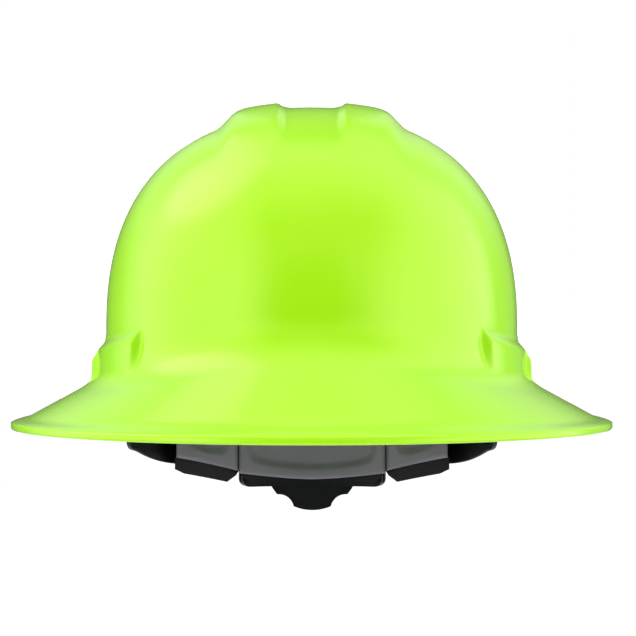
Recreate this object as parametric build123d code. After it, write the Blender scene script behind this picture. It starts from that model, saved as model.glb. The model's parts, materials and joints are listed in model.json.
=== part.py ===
from build123d import *
import os
from math import atan2, cos, degrees, pi, radians, sin, sqrt

os.makedirs("parts", exist_ok=True)

# Full brim hard hat on its ratchet suspension, in millimetres.
# The origin is the middle of the head opening, level with the edge of the brim.
# +Z is up, the front of the hat faces -Y and the wearer's left side is +X.

# Crown and brim of the shell
crown_half_width = 98.4
crown_half_length = 117.0
crown_height = 152.6
widest_level = 45.0
crown_roundness_share = 2.25
shell_wall = 2.6
side_flare_share = 0.018
brim_half_width = 143.0
brim_half_length = 161.0
brim_forward = 6.0
root_level_side = 24.0
root_rise_front = 18.0
root_rise_rear = 5.0
front_arch_share = 4
rear_arch_share = 2
rim_top = 2.0
rim_thickness = 3.0
rim_round = 1.2
lip_width = 8.5
lip_shape_share = 0.22
root_blend = 11.0
cap_share = 0.08
overrun = 6.0

# Two raised ridges along the top of the crown, with a channel between them
ridge_rise = 3.6
ridge_sink = 1.3
ridge_end_sink = 0.5
ridge_inner_foot = 9.6
ridge_outer_foot = 48.2
ridge_half_length = 88.0
ridge_fade = 34.0
ridge_inner_slope_share = 0.22
ridge_outer_slope_share = 0.38
ridge_offset_share = 0.27

# Accessory bosses on both sides, each with the housing of one blade slot
boss_rise = 4.4
boss_length = 120.0
boss_top_outer = 37.4
boss_top_inner = 45.0
boss_top_front = 50.0
boss_inboard = 30.0
boss_round = 2.5
housing_face = 105.4
housing_length = 42.0
housing_top = 33.6
housing_depth = 12.0
housing_round = 1.6
slot_width = 3.4
slot_length = 32.0
slot_wall = 1.7
slot_top = 31.8

# Sockets inside the crown, and the keys that hang the suspension in them
socket_width = 26.0
socket_height = 18.0
socket_bottom = 42.0
socket_wall = 1.5
socket_root = 0.9
socket_gap = 1.6
key_thickness = 2.0
key_clearance = 0.2
key_blade_width = 19.0
key_blade_height = 15.5
key_turn_angle = 50

# Plate of each key below its socket, and its shelf to the headband
key_plate_width = 24.0
key_plate_bottom = 22.0
key_bar_width = 20.0
key_bar_depth = 1.6
key_bar_bottom = 34.0
key_bar_height = 6.0
key_shelf_width = 16.0
key_shelf_thickness = 2.4
key_clip_thickness = 1.8
key_clip_height = 11.5

# Webbing straps that cross over the head
strap_width = 19.0
strap_thickness = 1.2
strap_top = 112.0
strap_gap = 2.3
strap_end_gap = 1.9
strap_shoulder_share = 0.74
strap_shoulder_level_share = 0.66

# Headband, and the pad inside its front
headband_side_gap = 11.8
headband_end_gap = 13.4
headband_half_width = crown_half_width - shell_wall - headband_side_gap
headband_half_length = crown_half_length - shell_wall - headband_end_gap
headband_thickness = 1.6
headband_bottom = 24.0
headband_height = 30.0
headband_rear_gap = 46.0
search_step = 0.2
seat_gap = 0.3
brow_pad_thickness = 4.5
brow_pad_bottom = 20.5
brow_pad_height = 36.0
brow_pad_rear_edge = 30.0
brow_pad_round = 1.8

# Nape assembly: everything in it is curved about one upright axis
nape_axis_y = 17.0
pad_inner_radius = 82.0
pad_thickness = 4.5
band_inner_radius = 86.6
band_thickness = 2.4
base_inner_radius = 89.2
base_thickness = 1.8
strip_thickness = 1.5
strip_gap = 0.3
cover_wall = 1.8
running_gap = 0.3
knob_level = -26.0

# Black band behind the pads, seen from the front, as shares of its half chord and depth
band_half_chord = 69.5
band_bottom = -35.4
band_top = 7.0
band_notch_chord = 38.0
band_notch_half_width = 1.3
band_notch_level = -28.8
band_corner = 4.5
band_end_level = -27.4
band_end_top = 2.0

# Gray pads on it
pad_centre_bottom = -33.4
pad_centre_side_bottom = -29.6
pad_side_inner_bottom = -28.2
pad_side_outer_bottom = -20.0
pad_margin = 1.4
pad_round = 1.2
pad_half_chord = 68.6

# Rack and pinion: two toothed strips run over and under one pinion
gear_module = 1.0
pinion_teeth = 11
tooth_tip_share = 0.7
tooth_root_share = 1.05
tooth_slope_share = 0.34
backlash = 0.46
strip_edge = 2.6
window_clearance = 0.7
knob_turns = 1.5
window_end_gap = 7.5
strip_end = 3.6

# Ratchet housing
housing_half_chord = 36.0
housing_end_round = 4.0
hub_radius = 20.3
ring_outer_radius = 19.4
ring_inner_radius = 16.8
ring_height = 5.2
detent_count = 24
detent_depth = 0.9
plate_back = 1.2
shaft_radius = 4.5
shaft_square = 6.6
square_gap = 0.1
collar_radius = 6.35
pilot_radius = 2.2
pilot_gap = 0.25
pawl_thickness = 2.0
pawl_hub_radius = 8.5
pawl_arm_width = 1.5
pawl_arm_angle = 150
pawl_bite = 0.5
pawl_count = 2
knob_radius = 24.5
knob_depth = 14.0
knob_skirt_depth = 5.2
knob_skirt_radius = 20.1
knob_boss_radius = 6.4
knob_lobes = 5
scallop_radius = 8.0
scallop_depth = 2.6
knob_round = 1.6
knob_shaft_grip = 9.0
screw_head_radius = 3.4
screw_head_height = 1.3
washer_radius = 4.2
washer_thickness = 0.8
screw_length = 7.0
screw_radius = 1.2
screw_hole_gap = 1.2

# Arms from the headband's sides down to the toothed strips
arm_turn_angle = 35.5
arm_turn_level = -22.0
arm_leave_angle = 52.7
arm_leave_level = -17.0
arm_bend_x = 87.0
arm_bend_y = 48.0
arm_bend_level = -7.0
bend_turn_share = 0.3
arm_bulge_x = 90.0
arm_bulge_y = 24.0
arm_bulge_level = 5.0
arm_rise_y = 8.0
arm_rise_level = 22.0
arm_end_y = -14.0
arm_end_level = 39.0
arm_growth = 2.0
arm_seat_gap = 0.8
rivet_y = -6.0
arm_thickness = 1.7
arm_rivet_radius = 2.6
arm_rivet_head_radius = 4.2
arm_rivet_head = 1.1
arm_rivet_pitch = 12.0

ring_points = 32
outer_brim_shares = (0.985, 0.95, 0.88, 0.78, 0.6, 0.42)
inner_brim_shares = (0.78, 0.7, 0.56, 0.42)
blend_shares = (0, 0.3, 0.55, 0.8, 1)
crown_size_shares = (0.995, 0.96, 0.9, 0.81, 0.7, 0.57, 0.42, 0.27, 0.17, cap_share)
ridge_width_shares = (0, 0.08, 0.15, 0.24, 0.42, 0.6, 0.72, 0.84, 0.93, 1)
ridge_length_shares = (-1, -0.88, -0.76, -0.64, -0.36, 0, 0.36, 0.64, 0.76, 0.88, 1)
key_turns = {
    "front_left": radians(-key_turn_angle),
    "front_right": radians(180 + key_turn_angle),
    "rear_left": radians(key_turn_angle),
    "rear_right": radians(180 - key_turn_angle),
}


def smooth(share):
    """A step from 0 to 1 that leaves and arrives level."""
    kept = min(max(share, 0), 1)
    return kept * kept * (3 - 2 * kept)


def root_level(turn):
    """Height at which the brim would meet the crown wall, in the plan direction turn."""
    front = max(-sin(turn), 0) ** front_arch_share
    rear = max(sin(turn), 0) ** rear_arch_share
    return root_level_side + root_rise_front * front + root_rise_rear * rear


def wall_share(level, inset):
    """Size of the crown's plan at a level, as a share of its widest plan."""
    if level < widest_level:
        return 1 + side_flare_share * (widest_level - level) / widest_level
    climb = (level - widest_level) / (crown_height - inset - widest_level)
    return (1 - min(climb, 1) ** crown_roundness_share) ** (1 / crown_roundness_share)


def wall_point(turn, level, inset):
    """Point of the crown wall, inset into the shell."""
    size = wall_share(level, inset)
    return Vector(
        (crown_half_width - inset) * size * cos(turn),
        (crown_half_length - inset) * size * sin(turn),
        level,
    )


def brim_point(turn, way_out, inset):
    """Point of the brim, from its root at 0 to the rim at 1."""
    drop = inset * rim_thickness / shell_wall
    root = wall_point(turn, root_level(turn) - drop, inset)
    rim = Vector(
        (brim_half_width - inset) * cos(turn),
        (brim_half_length - inset) * sin(turn) - brim_forward,
        rim_top - drop,
    )
    lip = rim_top * smooth((way_out - (1 - lip_shape_share)) / lip_shape_share)
    flat = root + (rim - root) * way_out
    return Vector(flat.X, flat.Y, root.Z * (1 - way_out) - drop * way_out + lip)


def rim_point(turn, place, inset):
    """Point of the rounded edge of the rim, or of the step behind its lip on the inner skin."""
    back, level = place
    spread = Vector((brim_half_width - back) * cos(turn), (brim_half_length - back) * sin(turn))
    return Vector(spread.X, spread.Y - brim_forward, level)


def blend_points(turn, inset):
    """Ends and corner of the concave curve between the brim and the crown wall."""
    foot = brim_point(turn, 0, inset)
    rim = brim_point(turn, 1, inset)
    start = brim_point(turn, root_blend / (rim - foot).length, inset)
    return start, foot, wall_point(turn, foot.Z + root_blend, inset)


def blend_point(turn, way_up, inset):
    """Point on that curve, from the brim at 0 to the wall at 1."""
    start, corner, end = blend_points(turn, inset)
    first = start + (corner - start) * way_up
    second = corner + (end - corner) * way_up
    return first + (second - first) * way_up


def crown_point(turn, size, inset):
    """Point of the wall above the blend, where the side of the crown has that size."""
    span = crown_height - inset - widest_level
    top = widest_level + span * (1 - cap_share**crown_roundness_share) ** (1 / crown_roundness_share)
    side_start = blend_points(0, inset)[2].Z
    level = widest_level + span * (1 - size**crown_roundness_share) ** (1 / crown_roundness_share)
    way_up = (level - side_start) / (top - side_start)
    start = blend_points(turn, inset)[2].Z
    return wall_point(turn, start + (top - start) * way_up, inset)


def skin(inset):
    """Solid under one skin of the shell: 0 is the outer skin, the wall's thickness the inner."""
    bottom = rim_top - rim_thickness
    if inset == 0:
        rings = [(rim_point, (rim_round, bottom)), (rim_point, (0, (bottom + rim_top) / 2))]
        rings += [(brim_point, share) for share in outer_brim_shares]
    else:
        lip_levels = (bottom - rim_round, bottom + rim_round / 2)
        rings = [(rim_point, (lip_width, level)) for level in lip_levels]
        rings += [(brim_point, share) for share in inner_brim_shares]
    rings += [(blend_point, share) for share in blend_shares]
    rings += [(crown_point, share) for share in crown_size_shares]
    wires = []
    for place, share in rings:
        points = [place(2 * pi * step / ring_points, share, inset) for step in range(ring_points)]
        wires.append(Wire([Spline(*points, periodic=True)]))
    return Solid.make_loft(wires)


def block(corner, opposite):
    """Box between two opposite corners."""
    size = Vector(*opposite) - Vector(*corner)
    return Pos(*corner) * Box(size.X, size.Y, size.Z, align=(Align.MIN, Align.MIN, Align.MIN))


def oval(half_width, half_length):
    """Ellipse that is longer from front to rear than it is wide."""
    return Rotation(0, 0, 90) * Ellipse(half_length, half_width)


def oval_column(half_width, half_length, bottom, top):
    """Upright elliptical column."""
    return Pos(0, 0, bottom) * extrude(oval(half_width, half_length), top - bottom)


def crown_level(across, along, inset):
    """Height of the top of the crown above a point of the plan."""
    half_width = crown_half_width - inset
    half_length = crown_half_length - inset
    size = sqrt((across / half_width) ** 2 + (along / half_length) ** 2)
    span = crown_height - inset - widest_level
    return widest_level + span * (1 - size**crown_roundness_share) ** (1 / crown_roundness_share)


def ridge_section(along, side, inset):
    """Cross-section of one ridge, which rises from a floor sunk into the crown."""
    fade = smooth((ridge_half_length - abs(along)) / ridge_fade)
    swell = ridge_sink - ridge_end_sink + (ridge_rise + ridge_end_sink) * fade
    inner = ridge_inner_foot + inset * ridge_offset_share
    outer = ridge_outer_foot - inset * ridge_offset_share
    points = []
    for share in ridge_width_shares:
        across = inner + (outer - inner) * share
        flank = min(share / ridge_inner_slope_share, (1 - share) / ridge_outer_slope_share)
        level = crown_level(across, along, inset) - ridge_sink + swell * smooth(flank)
        points.append((side * across, along, level))
    return Wire([Spline(*points), Line(points[-1], points[0])])


def ridges(inset):
    """The two raised ridges, as solids under one skin."""
    lengths = [ridge_half_length * share for share in ridge_length_shares]
    return [Solid.make_loft([ridge_section(along, side, inset) for along in lengths]) for side in (-1, 1)]


def boss(side):
    """Swelling on the side of the crown that carries the slot housing."""
    x_in = crown_half_width - boss_inboard
    x_out = crown_half_width + boss_rise + overrun
    slope = Polyline(
        (x_in, 0),
        (x_out, 0),
        (x_out, boss_top_outer),
        (crown_half_width + boss_rise, boss_top_outer),
        (crown_half_width, boss_top_inner),
        (x_in, boss_top_front),
        close=True,
    )
    bar = extrude(Plane.XZ * make_face(slope), boss_length / 2, both=True)
    body = bar & oval_column(
        crown_half_width + boss_rise, crown_half_length + boss_rise, root_level_side / 2, boss_top_front
    )
    ends = body.edges().group_by(Axis.Y)
    corners = [group.sort_by(Axis.X)[-1] for group in (ends[0], ends[-1])]
    body = fillet(corners, boss_round)
    return body if side > 0 else mirror(body, about=Plane.YZ)


def slot_housing(side):
    """Box on the boss round the accessory slot."""
    low = (housing_face - housing_depth, -housing_length / 2, root_level_side / 2)
    box = block(low, (housing_face, housing_length / 2, housing_top))
    outer_edges = box.faces().sort_by(Axis.X)[-1].edges().sort_by(Axis.Z)[1:]
    box = fillet(outer_edges, housing_round)
    return box if side > 0 else mirror(box, about=Plane.YZ)


def blade_slot(side):
    """Slot for an accessory blade, open under the brim."""
    x_out = housing_face - slot_wall
    cut = block((x_out - slot_width, -slot_length / 2, rim_top), (x_out, slot_length / 2, slot_top))
    return cut if side > 0 else mirror(cut, about=Plane.YZ)


def key_frame(turn):
    """Frame on the inner wall: X runs along the wall, Y into the crown and Z up."""
    seat = wall_point(turn, socket_bottom, shell_wall)
    normal = Vector(-cos(turn) / crown_half_width, -sin(turn) / crown_half_length, 0).normalized()
    return Plane((seat.X, seat.Y, 0), x_dir=normal.cross(Vector(0, 0, 1)), z_dir=(0, 0, 1))


def key_socket(turn):
    """Pocket on the inner wall, open below, that takes the blade of a suspension key."""
    deep = socket_gap + key_clearance * 2 + key_thickness
    body = block(
        (-socket_width / 2, -socket_root, socket_bottom),
        (socket_width / 2, deep + socket_wall, socket_bottom + socket_height),
    )
    half = key_blade_width / 2 + key_clearance
    pocket = block(
        (-half, socket_gap, socket_bottom - overrun),
        (half, deep, socket_bottom + key_blade_height + key_clearance),
    )
    return key_frame(turn) * (body - pocket)


def make_shell():
    """One moulding: crown, brim, rim, ridges, bosses and sockets."""
    sides = [piece(side) for side in (-1, 1) for piece in (boss, slot_housing)]
    body = (Part() + skin(0)) + (sides + ridges(0))
    body = body - ([skin(shell_wall)] + ridges(shell_wall))
    body = body + [key_socket(turn) for turn in key_turns.values()]
    return body - [blade_slot(side) for side in (-1, 1)]


def make_key(turn):
    """Moulded hanger: blade in the socket, bar for the strap, shelf and clip to the headband."""
    near = socket_gap + key_clearance
    far = near + key_thickness
    half = key_blade_width / 2
    blade = block((-half, near, socket_bottom - seat_gap), (half, far, socket_bottom + key_blade_height))
    half = key_plate_width / 2
    plate = block((-half, near, key_plate_bottom), (half, far, socket_bottom - seat_gap))
    half = key_bar_width / 2
    bar = block((-half, far, key_bar_bottom), (half, far + key_bar_depth, key_bar_bottom + key_bar_height))
    reach = headband_distance(turn) + key_clip_thickness
    half = key_shelf_width / 2
    shelf = block((-half, near, key_plate_bottom), (half, reach, key_plate_bottom + key_shelf_thickness))
    clip = block(
        (-half, reach - 2 * key_clip_thickness, key_plate_bottom),
        (half, reach, key_plate_bottom + key_clip_height),
    )
    seat = oval_column(headband_half_width + seat_gap, headband_half_length + seat_gap, 0, crown_height)
    return key_frame(turn) * (Part() + [blade, plate, bar, shelf, clip]) - seat


def headband_distance(turn):
    """Distance inward from the crown's inner wall at a key to the headband's face."""
    frame = key_frame(turn)
    depth = search_step
    while depth < crown_half_width:
        place = frame.from_local_coords((0, depth, 0))
        across = place.X / headband_half_width
        along = place.Y / headband_half_length
        if across * across + along * along < 1:
            return depth
        depth += search_step
    return depth


def make_strap(turn, lift):
    """Flat strap over the head from one front key to the opposite rear key."""
    inward = socket_gap + key_clearance + key_thickness + key_bar_depth + strap_end_gap
    low = key_frame(turn).from_local_coords((0, inward, key_bar_bottom))
    reach = Vector(low.X, low.Y).length
    faces = [strap_line(reach, low.Z, strap_top + lift, inset) for inset in (0, strap_thickness)]
    ends = [Line(faces[0] @ end, faces[1] @ end) for end in (0, 1)]
    upright = Plane((0, 0, 0), x_dir=(low.X, low.Y, 0), z_dir=(low.Y, -low.X, 0))
    return extrude(upright * make_face(faces + ends), strap_width / 2, both=True)


def strap_line(reach, low, top, inset):
    """One face of a strap in its own upright plane, from one end over the head to the other."""
    side = inset * sqrt(1 / 2)
    shoulder_x = reach * strap_shoulder_share - side
    shoulder_z = low + (top - low) * strap_shoulder_level_share - side
    return Spline(
        (inset - reach, low),
        (-shoulder_x, shoulder_z),
        (0, top - inset),
        (shoulder_x, shoulder_z),
        (reach - inset, low),
        tangents=((0, 1), (0, -1)),
    )


def make_headband():
    """Thin band round the head, open at the nape."""
    top = headband_bottom + headband_height
    inner_width = headband_half_width - headband_thickness
    inner_length = headband_half_length - headband_thickness
    band = oval_column(headband_half_width, headband_half_length, headband_bottom, top)
    band = band - oval_column(inner_width, inner_length, headband_bottom, top)
    rear = block(
        (-headband_rear_gap, 0, headband_bottom - overrun),
        (headband_rear_gap, headband_half_length + overrun, top + overrun),
    )
    return band - rear


def make_brow_pad():
    """Soft pad inside the front half of the headband."""
    out = headband_thickness + seat_gap
    top = brow_pad_bottom + brow_pad_height
    outer_width = headband_half_width - out
    outer_length = headband_half_length - out
    inner_width = outer_width - brow_pad_thickness
    inner_length = outer_length - brow_pad_thickness
    pad = oval_column(outer_width, outer_length, brow_pad_bottom, top)
    pad = pad - oval_column(inner_width, inner_length, brow_pad_bottom, top)
    rear = block(
        (-headband_half_width, -brow_pad_rear_edge, brow_pad_bottom - overrun),
        (headband_half_width, headband_half_length + overrun, top + overrun),
    )
    pad = pad - rear
    inner_edges = pad.faces().sort_by(Axis.Z)[0].edges() + pad.faces().sort_by(Axis.Z)[-1].edges()
    return fillet(inner_edges.filter_by(GeomType.LINE, reverse=True), brow_pad_round)


def sector(inner_radius, thickness, half_chord, bottom, top):
    """Upright curved plate about the nape axis."""
    outer_radius = inner_radius + thickness
    half_angle = degrees(atan2(half_chord, sqrt(inner_radius**2 - half_chord**2)))
    outer = CenterArc((0, 0), outer_radius, 90 - half_angle, 2 * half_angle)
    inner = CenterArc((0, 0), inner_radius, 90 - half_angle, 2 * half_angle)
    face = make_face([outer, inner, Line(inner @ 0, outer @ 0), Line(inner @ 1, outer @ 1)])
    return Pos(0, nape_axis_y, bottom) * extrude(face, top - bottom)


def front_cut(points):
    """Bar with an outline drawn in the front view, long enough to pass the nape assembly."""
    return extrude(Plane.XZ * make_face(Polyline(*points, close=True)), -2 * crown_half_length)


def mirrored_outline(right_half):
    """Closed outline from the points of its +X half, bottom centre to top centre."""
    left_half = [(-x, z) for x, z in reversed(right_half) if x > 0]
    return list(right_half) + left_half


def make_nape_band():
    """Black band that carries the pads, thinned by a notch on both sides of its centre part."""
    notch = band_notch_half_width
    outline = mirrored_outline(
        [
            (0, band_bottom),
            (band_notch_chord - notch - band_corner, band_bottom),
            (band_notch_chord - notch, band_bottom + band_corner),
            (band_notch_chord, band_notch_level),
            (band_notch_chord + notch, band_bottom + band_corner),
            (band_notch_chord + notch + band_corner, band_bottom + notch),
            (band_half_chord - band_corner, band_end_level - notch),
            (band_half_chord, band_end_level + notch),
            (band_half_chord, band_end_top - band_corner),
            (band_half_chord - band_corner, band_end_top),
            (band_notch_chord, band_top),
        ]
    )
    band = sector(band_inner_radius, band_thickness, band_half_chord, band_bottom, band_top)
    band = band & front_cut(outline)
    hole = Pos(0, nape_axis_y, knob_level) * Rotation(-90, 0, 0)
    return band - hole * Cylinder(washer_radius + screw_hole_gap, 2 * cover_radius())


def make_pads():
    """Three soft pads against the neck, one on each part of the band."""
    top = band_top - pad_margin
    inner_edge = band_notch_chord - pad_margin / 2
    outer_edge = band_notch_chord + pad_margin / 2
    centre = [
        (-inner_edge, pad_centre_side_bottom),
        (0, pad_centre_bottom),
        (inner_edge, pad_centre_side_bottom),
        (inner_edge, top),
        (-inner_edge, top),
    ]
    side = [
        (outer_edge, pad_side_inner_bottom),
        (pad_half_chord, pad_side_outer_bottom),
        (pad_half_chord, band_end_top - pad_margin),
        (outer_edge, top),
    ]
    pads = {"centre": centre, "left": side, "right": [(-x, z) for x, z in side]}
    ring = sector(pad_inner_radius, pad_thickness, pad_half_chord, pad_centre_bottom, top)
    made = {}
    for name, outline in pads.items():
        pad = ring & front_cut(outline)
        front = pad.faces().filter_by(GeomType.CYLINDER).sort_by(lambda face: face.radius)[0]
        made[name] = fillet(front.edges(), pad_round)
    return made


def inner_strip_radius():
    """Inner face of the strip that lies next to the base."""
    return base_inner_radius + base_thickness + running_gap


def outer_strip_radius():
    """Inner face of the strip behind it."""
    return inner_strip_radius() + strip_thickness + strip_gap


def cover_radius():
    """Inner face of the cover, behind both strips."""
    return outer_strip_radius() + strip_thickness + running_gap


def pitch_radius():
    """Radius at which the pinion and the strips mesh."""
    return gear_module * pinion_teeth / 2


def tooth_pitch():
    """Distance from tooth to tooth along a strip."""
    return pi * gear_module


def tip_radius():
    """Radius over the pinion's teeth."""
    return pitch_radius() + gear_module * tooth_tip_share


def root_height():
    """Distance from the knob's axis to the root of a strip's teeth."""
    return pitch_radius() + gear_module * tooth_root_share


def travel():
    """Way that a strip moves from rest to either end."""
    return 2 * pi * pitch_radius() * knob_turns / 2


def strip_half_height():
    """Half the height of the tallest part of a strip."""
    return root_height() + strip_edge


def tooth_profile(tip_height, root_height_from_axis):
    """Points of one rack tooth pointing down from its root, as distance along and height."""
    middle = (tooth_pitch() - backlash) / 4
    pitch_line = pitch_radius()
    tip_half = middle - (pitch_line - tip_height) * tooth_slope_share
    root_half = middle + (root_height_from_axis - pitch_line) * tooth_slope_share
    sunk = root_height_from_axis + strip_edge / 2
    return [
        (-tip_half, tip_height),
        (tip_half, tip_height),
        (root_half, root_height_from_axis),
        (root_half, sunk),
        (-root_half, sunk),
        (-root_half, root_height_from_axis),
    ]


def make_strip(inner_radius, first_tooth, side):
    """Toothed strip: side 1 has its teeth above the pinion, side -1 below it."""
    window_half = travel() + window_end_gap
    half_length = window_half + strip_end
    middle = inner_radius + strip_thickness / 2
    low = -(tip_radius() + window_clearance)
    height = strip_half_height()
    plate = arc_plate(inner_radius, half_length, -height, height)
    depth = 2 * overrun + strip_thickness
    window = arc_plate(inner_radius - overrun, window_half, low, root_height(), depth)
    teeth = []
    profile = tooth_profile(pitch_radius() - gear_module * tooth_tip_share, root_height())
    face = make_face(Polyline(*profile, close=True))
    count = int((window_half - tooth_pitch()) / tooth_pitch())
    for number in range(-count, count + 1):
        along = (number + first_tooth) * tooth_pitch()
        if abs(along) < window_half - tooth_pitch() / 2:
            teeth.append(radial_prism(face, inner_radius, degrees(along / middle)))
    strip = (plate - window) + teeth
    if side < 0:
        strip = mirror(strip, about=Plane.XY)
    return Pos(0, nape_axis_y, knob_level) * strip


def arc_plate(inner_radius, half_length, bottom, top, thickness=strip_thickness):
    """Curved plate about the Z axis, given by its length along the arc."""
    half_angle = degrees(half_length / (inner_radius + thickness / 2))
    outer = CenterArc((0, 0), inner_radius + thickness, 90 - half_angle, 2 * half_angle)
    inner = CenterArc((0, 0), inner_radius, 90 - half_angle, 2 * half_angle)
    face = make_face([outer, inner, Line(inner @ 0, outer @ 0), Line(inner @ 1, outer @ 1)])
    return Pos(0, 0, bottom) * extrude(face, top - bottom)


def radial_prism(face, inner_radius, angle):
    """A profile drawn along and up, made as thick as a strip and turned about the Z axis."""
    standing = Plane((0, inner_radius, 0), x_dir=(1, 0, 0), z_dir=(0, -1, 0)) * face
    return Rotation(0, 0, -angle) * extrude(standing, -strip_thickness)


def knob_frame(radius):
    """Frame on the knob's axis at a distance behind the nape axis; its Z points rearward."""
    return Plane((0, nape_axis_y + radius, knob_level), x_dir=(-1, 0, 0), z_dir=(0, 1, 0))


def round_bar(radius, front, rear):
    """Cylinder on the knob's axis between two distances behind the nape axis."""
    return knob_frame(front) * Cylinder(radius, rear - front, align=(Align.CENTER, Align.CENTER, Align.MIN))


def square_bar(width, front, rear):
    """Square bar on the knob's axis."""
    align = (Align.CENTER, Align.CENTER, Align.MIN)
    return knob_frame(front) * Box(width, width, rear - front, align=align)


def make_base():
    """Curved plate in front of the strips, with the pinion's front bearing."""
    half = strip_half_height() + running_gap + cover_wall
    low = knob_level - half
    plate = sector(base_inner_radius, base_thickness, housing_half_chord, low, low + 2 * half)
    corners = plate.edges().filter_by(lambda edge: abs(edge.length - base_thickness) < running_gap)
    plate = fillet(corners, housing_end_round)
    return plate - round_bar(pilot_radius + pilot_gap, 0, 2 * base_inner_radius)


def hub_front():
    """Distance behind the nape axis at which the hub's flat floor lies."""
    return cover_radius() + cover_wall


def make_cover():
    """Rear cover: tunnel for the strips and the hub with its ring of detents."""
    half = strip_half_height() + running_gap
    front = base_inner_radius + base_thickness
    depth = hub_front() - front
    low = knob_level - half - cover_wall
    body = sector(front, depth, housing_half_chord, low, low + 2 * (half + cover_wall))
    corners = body.edges().filter_by(lambda edge: abs(edge.length - depth) < running_gap)
    body = fillet(corners, housing_end_round)
    sagitta = hub_radius**2 / (2 * cover_radius())
    disc = round_bar(hub_radius, cover_radius() - sagitta, hub_front() + plate_back)
    ring = round_bar(ring_outer_radius, hub_front(), hub_front() + ring_height)
    tunnel = sector(front - overrun, cover_radius() - front + overrun, cover_radius() / 2, -half, half)
    tunnel = Pos(0, 0, knob_level) * tunnel
    well = round_bar(ring_inner_radius, hub_front(), 2 * cover_radius())
    bore = round_bar(collar_radius + pilot_gap, front, 2 * cover_radius())
    notches = []
    for number in range(detent_count):
        turned = knob_frame(hub_front()) * Rotation(0, 0, 360 * number / detent_count)
        groove = Rotation(0, 0, 45) * Box(2 * detent_depth, 2 * detent_depth, ring_height * 2)
        notches.append(turned * Pos(ring_inner_radius, 0, ring_height) * groove)
    return (body + [disc, ring]) - ([tunnel, well, bore] + notches)


def make_pinion():
    """Pinion with its front pilot, bearing collar and the square that drives it."""
    front = inner_strip_radius()
    rear = outer_strip_radius() + strip_thickness
    root = pitch_radius() - gear_module * tooth_root_share
    tip = tip_radius()
    middle = (tooth_pitch() - backlash) / 4
    tip_half = middle - gear_module * tooth_tip_share * tooth_slope_share
    root_half = middle + gear_module * tooth_root_share * tooth_slope_share
    flank = Polyline((0, root_half), (root, root_half), (tip, tip_half), (tip, -tip_half))
    outline = flank + Polyline((tip, -tip_half), (root, -root_half), (0, -root_half), (0, root_half))
    tooth = extrude(make_face(outline.edges()), rear - front)
    teeth = [
        knob_frame(front) * Rotation(0, 0, 90 + 360 * number / pinion_teeth) * tooth
        for number in range(pinion_teeth)
    ]
    pilot = round_bar(pilot_radius, base_inner_radius, front)
    core = round_bar(root, front, rear)
    collar = round_bar(collar_radius, rear, hub_front())
    drive = square_bar(shaft_square, hub_front(), hub_front() + ring_height + knob_shaft_grip)
    bore = round_bar(screw_radius, 0, base_inner_radius + screw_length)
    return (core + teeth) + [pilot, collar, drive] - bore


def make_pawls():
    """Spring disc on the pinion's square: two arms that click over the detents."""
    front = hub_front() + plate_back / 2
    hub = round_bar(pawl_hub_radius, front, front + pawl_thickness)
    arms = []
    reach = ring_inner_radius - running_gap
    for number in range(pawl_count):
        bend_radius = (reach + pawl_hub_radius) / 2 + pawl_arm_width
        bend = CenterArc((0, 0), bend_radius, 0, pawl_arm_angle)
        root = Line((pawl_hub_radius - pawl_arm_width, 0), bend @ 0)
        tip = Line(bend @ 1, (bend @ 1) * ((ring_inner_radius + pawl_bite) / bend_radius))
        turned = knob_frame(front) * Rotation(0, 0, 360 * number / pawl_count)
        for line in (root, bend, tip):
            arms.append(turned * extrude(trace(line, pawl_arm_width), pawl_thickness))
    square = square_bar(shaft_square + 2 * square_gap, 0, 2 * cover_radius())
    return (hub + arms) - square


def make_knob():
    """Lobed knob whose skirt covers the ring of detents."""
    front = hub_front() + plate_back + running_gap
    rear = front + knob_depth
    body = round_bar(knob_radius, front, rear)
    scallops = []
    for number in range(knob_lobes):
        turned = knob_frame(front) * Rotation(0, 0, 90 + 360 * number / knob_lobes)
        away = knob_radius + scallop_radius - scallop_depth
        scallops.append(turned * Pos(away, 0, knob_depth / 2) * Cylinder(scallop_radius, 2 * knob_depth))
    body = body - scallops
    rim = body.faces().sort_by(Axis.Y)[-1].edges()
    body = fillet(rim, knob_round)
    skirt = round_bar(knob_skirt_radius, front - overrun, front + knob_skirt_depth)
    boss_front = hub_front() + plate_back / 2 + pawl_thickness + running_gap
    boss = round_bar(knob_boss_radius, boss_front, front + knob_skirt_depth)
    grip = hub_front() + ring_height + knob_shaft_grip + square_gap
    square = square_bar(shaft_square + 2 * square_gap, 0, grip)
    return (body - skirt + boss) - square


def make_washer():
    """Washer between the screw's head and the base."""
    front = base_inner_radius - washer_thickness - running_gap / 2
    ring = round_bar(washer_radius, front, front + washer_thickness)
    return ring - round_bar(screw_radius + square_gap, 0, base_inner_radius)


def make_axle_screw():
    """Screw that holds the pinion's pilot in the base."""
    seat = base_inner_radius - washer_thickness - running_gap / 2
    head = round_bar(screw_head_radius, seat - screw_head_height, seat)
    return head + round_bar(screw_radius, seat, base_inner_radius + screw_length)


def headband_side(along):
    """Half width of the headband's outer face at a place along the head."""
    return headband_half_width * sqrt(1 - (along / headband_half_length) ** 2)


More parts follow.
